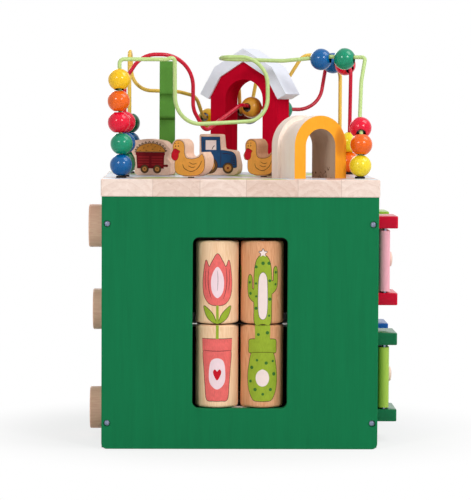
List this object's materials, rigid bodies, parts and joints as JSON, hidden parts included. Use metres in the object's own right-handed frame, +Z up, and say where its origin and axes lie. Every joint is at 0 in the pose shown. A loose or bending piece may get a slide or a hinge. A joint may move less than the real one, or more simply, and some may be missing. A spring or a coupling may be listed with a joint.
{
  "type": "wooden activity cube",
  "caption": "Wooden activity cube with a bead maze and a small farm on top, picture rollers in front, hinged doors at the right and sliding pucks at the left.",
  "frame": {"origin": "centre of the green box's footprint, on the face that it stands on", "axes": "+Z up, -Y towards the front panel with the rollers, +X towards the side with the doors"},
  "size_m": [0.3421, 0.302, 0.4382],
  "materials": {
    "green_paint": "satin green stain on plywood",
    "board_wood": "laminated pale wood, clear lacquer",
    "screw_steel": "zinc plated",
    "white_case": "white lacquered board",
    "tan_wood": "printed pale wood, clear lacquer",
    "amber_wood": "printed amber wood, clear lacquer",
    "puck_wood": "bare turned wood",
    "bar_paint": "gloss paint, one colour to a door",
    "pink_paint": "satin pink paint",
    "lime_paint": "satin lime paint",
    "sky_paint": "satin pale blue paint",
    "lilac_paint": "satin lilac paint",
    "figure_wood": "pale wood with a printed face",
    "glider_plastic": "black moulded pin",
    "tree_paint": "green paint",
    "barn_paint": "satin red paint",
    "roof_paint": "white paint",
    "tunnel_wood": "bare beech with an orange front",
    "lime_coat": "glossy coat on steel rod",
    "red_coat": "glossy coat on steel rod",
    "yellow_coat": "glossy coat on steel rod",
    "collar_plastic": "black plastic",
    "bead_yellow": "gloss lacquer",
    "bead_orange": "gloss lacquer",
    "bead_red": "gloss lacquer",
    "bead_teal": "gloss lacquer",
    "bead_blue": "gloss lacquer",
    "bead_green": "gloss lacquer",
    "bead_navy": "gloss lacquer",
    "bead_ochre": "gloss lacquer"
  },
  "bodies": {
    "root": {"front_panel": "green_paint", "back_panel": "green_paint", "left_panel": "green_paint", "right_panel": "green_paint", "top_board": "board_wood", "base_board": "board_wood", "panel_screws": "screw_steel", "door_pins": "screw_steel", "roller_axles": "screw_steel", "roller_case": "white_case", "door_bars": "bar_paint", "fir_tree": "tree_paint", "barn_walls": "barn_paint", "barn_roof": "roof_paint", "tunnel_arch": "tunnel_wood", "lime_wire": "lime_coat", "red_wire": "red_coat", "yellow_wire": "yellow_coat", "wire_collars": "collar_plastic"},
    "upper_left_roller": {"upper_left_roller": "tan_wood"},
    "upper_right_roller": {"upper_right_roller": "amber_wood"},
    "lower_left_roller": {"lower_left_roller": "tan_wood"},
    "lower_right_roller": {"lower_right_roller": "amber_wood"},
    "upper_front_door": {"upper_front_door": "pink_paint"},
    "upper_back_door": {"upper_back_door": "sky_paint"},
    "lower_front_door": {"lower_front_door": "lime_paint"},
    "lower_back_door": {"lower_back_door": "lilac_paint"},
    "puck_upper": {"puck_upper": "puck_wood"},
    "puck_middle": {"puck_middle": "puck_wood"},
    "puck_lower": {"puck_lower": "puck_wood"},
    "hay_wagon_glider": {"hay_wagon_glider": "glider_plastic"},
    "hay_wagon": {"hay_wagon": "figure_wood"},
    "tractor_glider": {"tractor_glider": "glider_plastic"},
    "tractor": {"tractor": "figure_wood"},
    "left_hen_glider": {"left_hen_glider": "glider_plastic"},
    "left_hen": {"left_hen": "figure_wood"},
    "right_hen_glider": {"right_hen_glider": "glider_plastic"},
    "right_hen": {"right_hen": "figure_wood"},
    "lime_bead_blue_low": {"lime_bead_blue_low": "bead_blue"},
    "lime_bead_teal": {"lime_bead_teal": "bead_teal"},
    "lime_bead_red_left": {"lime_bead_red_left": "bead_red"},
    "lime_bead_orange_left": {"lime_bead_orange_left": "bead_orange"},
    "lime_bead_yellow_left": {"lime_bead_yellow_left": "bead_yellow"},
    "lime_bead_yellow_right": {"lime_bead_yellow_right": "bead_yellow"},
    "lime_bead_orange_right": {"lime_bead_orange_right": "bead_orange"},
    "red_bead_orange": {"red_bead_orange": "bead_orange"},
    "red_bead_yellow": {"red_bead_yellow": "bead_yellow"},
    "red_left_beads": {"red_left_beads": "bead_red"},
    "yellow_bead_green_low": {"yellow_bead_green_low": "bead_green"},
    "yellow_bead_blue": {"yellow_bead_blue": "bead_blue"},
    "yellow_bead_green_high": {"yellow_bead_green_high": "bead_green"},
    "lime_bead_blue_top": {"lime_bead_blue_top": "bead_blue"},
    "lime_bead_green_top": {"lime_bead_green_top": "bead_teal"},
    "lime_bead_red_right": {"lime_bead_red_right": "bead_red"},
    "red_bead_ochre": {"red_bead_ochre": "bead_ochre"},
    "red_bead_green": {"red_bead_green": "bead_teal"},
    "red_bead_blue": {"red_bead_blue": "bead_blue"},
    "red_bead_red": {"red_bead_red": "bead_red"},
    "yellow_bead_yellow": {"yellow_bead_yellow": "bead_yellow"},
    "yellow_back_beads": {"yellow_back_beads": "bead_navy"}
  },
  "joints": [
    {"name": "upper_left_roller_turn", "type": "hinge", "parent": "root", "child": "upper_left_roller", "pos_m": [-0.0246, -0.125, 0.18], "axis": [0, 0, 1], "continuous": true},
    {"name": "upper_right_roller_turn", "type": "hinge", "parent": "root", "child": "upper_right_roller", "pos_m": [0.0246, -0.125, 0.18], "axis": [0, 0, 1], "continuous": true},
    {"name": "lower_left_roller_turn", "type": "hinge", "parent": "root", "child": "lower_left_roller", "pos_m": [-0.0246, -0.125, 0.088], "axis": [0, 0, 1], "continuous": true},
    {"name": "lower_right_roller_turn", "type": "hinge", "parent": "root", "child": "lower_right_roller", "pos_m": [0.0246, -0.125, 0.088], "axis": [0, 0, 1], "continuous": true},
    {"name": "upper_front_door_hinge", "type": "hinge", "parent": "root", "child": "upper_front_door", "pos_m": [0.1615, -0.085, 0.2015], "axis": [0, 0, -1], "range_deg": [0, 160]},
    {"name": "upper_back_door_hinge", "type": "hinge", "parent": "root", "child": "upper_back_door", "pos_m": [0.1615, 0.085, 0.2015], "axis": [0, 0, 1], "range_deg": [0, 160]},
    {"name": "lower_front_door_hinge", "type": "hinge", "parent": "root", "child": "lower_front_door", "pos_m": [0.1615, -0.085, 0.072], "axis": [0, 0, -1], "range_deg": [0, 160]},
    {"name": "lower_back_door_hinge", "type": "hinge", "parent": "root", "child": "lower_back_door", "pos_m": [0.1615, 0.085, 0.072], "axis": [0, 0, 1], "range_deg": [0, 160]},
    {"name": "puck_upper_slide", "type": "slide", "parent": "root", "child": "puck_upper", "axis": [0, 1, 0], "range_m": [-0.027, 0.177]},
    {"name": "puck_middle_slide", "type": "slide", "parent": "root", "child": "puck_middle", "axis": [0, 1, 0], "range_m": [-0.164, 0.04]},
    {"name": "puck_lower_slide", "type": "slide", "parent": "root", "child": "puck_lower", "axis": [0, 1, 0], "range_m": [-0.072, 0.132]},
    {"name": "hay_wagon_glider_slide", "type": "slide", "parent": "root", "child": "hay_wagon_glider", "axis": [1, 0, 0], "range_m": [-0.016, 0.006]},
    {"name": "hay_wagon_turn", "type": "hinge", "parent": "hay_wagon_glider", "child": "hay_wagon", "pos_m": [-0.0962, -0.0027, 0.3], "axis": [0, 0, 1], "continuous": true},
    {"name": "tractor_glider_slide", "type": "slide", "parent": "root", "child": "tractor_glider", "axis": [1, 0, 0], "range_m": [-0.012, 0.01]},
    {"name": "tractor_turn", "type": "hinge", "parent": "tractor_glider", "child": "tractor", "pos_m": [-0.0181, 0.0093, 0.3], "axis": [0, 0, 1], "continuous": true},
    {"name": "left_hen_glider_slide", "type": "slide", "parent": "root", "child": "left_hen_glider", "axis": [1, 0, 0], "range_m": [-0.025, 0.02]},
    {"name": "left_hen_turn", "type": "hinge", "parent": "left_hen_glider", "child": "left_hen", "pos_m": [-0.0534, -0.0907, 0.3], "axis": [0, 0, 1], "continuous": true},
    {"name": "right_hen_glider_slide", "type": "slide", "parent": "root", "child": "right_hen_glider", "axis": [1, 0, 0], "range_m": [-0.022, 0.008]},
    {"name": "right_hen_turn", "type": "hinge", "parent": "right_hen_glider", "child": "right_hen", "pos_m": [0.0281, -0.0487, 0.3], "axis": [0, 0, 1], "continuous": true},
    {"name": "lime_bead_blue_low_spin", "type": "hinge", "parent": "root", "child": "lime_bead_blue_low", "pos_m": [-0.13012, -0.1112, 0.30709], "axis": [-0.018, 0.0276, 0.9995], "continuous": true},
    {"name": "lime_bead_teal_spin", "type": "hinge", "parent": "root", "child": "lime_bead_teal", "pos_m": [-0.12964, -0.11055, 0.33037], "axis": [-0.018, 0.0276, 0.9995], "continuous": true},
    {"name": "lime_bead_red_left_spin", "type": "hinge", "parent": "root", "child": "lime_bead_red_left", "pos_m": [-0.13256, -0.10991, 0.35364], "axis": [-0.018, 0.0276, 0.9995], "continuous": true},
    {"name": "lime_bead_orange_left_spin", "type": "hinge", "parent": "root", "child": "lime_bead_orange_left", "pos_m": [-0.13288, -0.10926, 0.37691], "axis": [-0.018, 0.0276, 0.9995], "continuous": true},
    {"name": "lime_bead_yellow_left_slide", "type": "slide", "parent": "root", "child": "lime_bead_yellow_left", "axis": [-0.018, 0.0276, 0.9995], "range_m": [0, 0.0063]},
    {"name": "lime_bead_yellow_right_spin", "type": "hinge", "parent": "root", "child": "lime_bead_yellow_right", "pos_m": [0.13302, -0.0972, 0.30709], "axis": [0.0246, -0.0411, 0.9989], "continuous": true},
    {"name": "lime_bead_orange_right_spin", "type": "hinge", "parent": "root", "child": "lime_bead_orange_right", "pos_m": [0.13379, -0.09765, 0.33035], "axis": [0.0245, 0.1143, 0.9931], "continuous": true},
    {"name": "red_bead_orange_slide", "type": "slide", "parent": "root", "child": "red_bead_orange", "axis": [0.0104, -0.0278, 0.9996], "range_m": [0, 0.0335]},
    {"name": "red_bead_yellow_slide", "type": "slide", "parent": "red_bead_orange", "child": "red_bead_yellow", "axis": [0.0104, -0.0278, 0.9996], "range_m": [0, 0.0335]},
    {"name": "red_left_beads_slide", "type": "slide", "parent": "root", "child": "red_left_beads", "axis": [-0.0016, 0.0164, 0.9999], "range_m": [0, 0.031]},
    {"name": "yellow_bead_green_low_slide", "type": "slide", "parent": "root", "child": "yellow_bead_green_low", "axis": [-0.0045, 0, 1], "range_m": [0, 0.0207]},
    {"name": "yellow_bead_blue_slide", "type": "slide", "parent": "yellow_bead_green_low", "child": "yellow_bead_blue", "axis": [-0.0045, 0, 1], "range_m": [0, 0.0207]},
    {"name": "yellow_bead_green_high_slide", "type": "slide", "parent": "yellow_bead_blue", "child": "yellow_bead_green_high", "axis": [-0.0045, 0, 1], "range_m": [0, 0.0207]},
    {"name": "lime_bead_blue_top_slide", "type": "slide", "parent": "root", "child": "lime_bead_blue_top", "axis": [0.9627, -0.2548, 0.0906], "range_m": [-0.028, 0.002]},
    {"name": "lime_bead_green_top_slide", "type": "slide", "parent": "root", "child": "lime_bead_green_top", "axis": [0.962, -0.2725, -0.019], "range_m": [-0.0025, 0.0095]},
    {"name": "lime_bead_red_right_slide", "type": "slide", "parent": "root", "child": "lime_bead_red_right", "axis": [-0.0125, -0.8381, -0.5454], "range_m": [-0.01, 0]},
    {"name": "red_bead_ochre_slide", "type": "slide", "parent": "root", "child": "red_bead_ochre", "axis": [0.4758, 0.8775, -0.0603], "range_m": [-0.0117, 0.0234]},
    {"name": "red_bead_green_slide", "type": "slide", "parent": "root", "child": "red_bead_green", "axis": [0.9765, 0.2144, -0.0198], "range_m": [-0.005, 0.016]},
    {"name": "red_bead_blue_spin", "type": "hinge", "parent": "root", "child": "red_bead_blue", "pos_m": [0.11411, 0.10216, 0.42298], "axis": [0.4628, -0.8857, -0.0362], "continuous": true},
    {"name": "red_bead_red_spin", "type": "hinge", "parent": "root", "child": "red_bead_red", "pos_m": [0.12711, 0.07647, 0.42046], "axis": [0.4197, -0.8032, -0.4227], "continuous": true},
    {"name": "yellow_bead_yellow_slide", "type": "slide", "parent": "root", "child": "yellow_bead_yellow", "axis": [0.3752, 0.9259, -0.0439], "range_m": [-0.0055, 0.0035]},
    {"name": "yellow_back_beads_slide", "type": "slide", "parent": "root", "child": "yellow_back_beads", "axis": [0.307, 0.9515, 0.018], "range_m": [0, 0.003]}
  ]
}
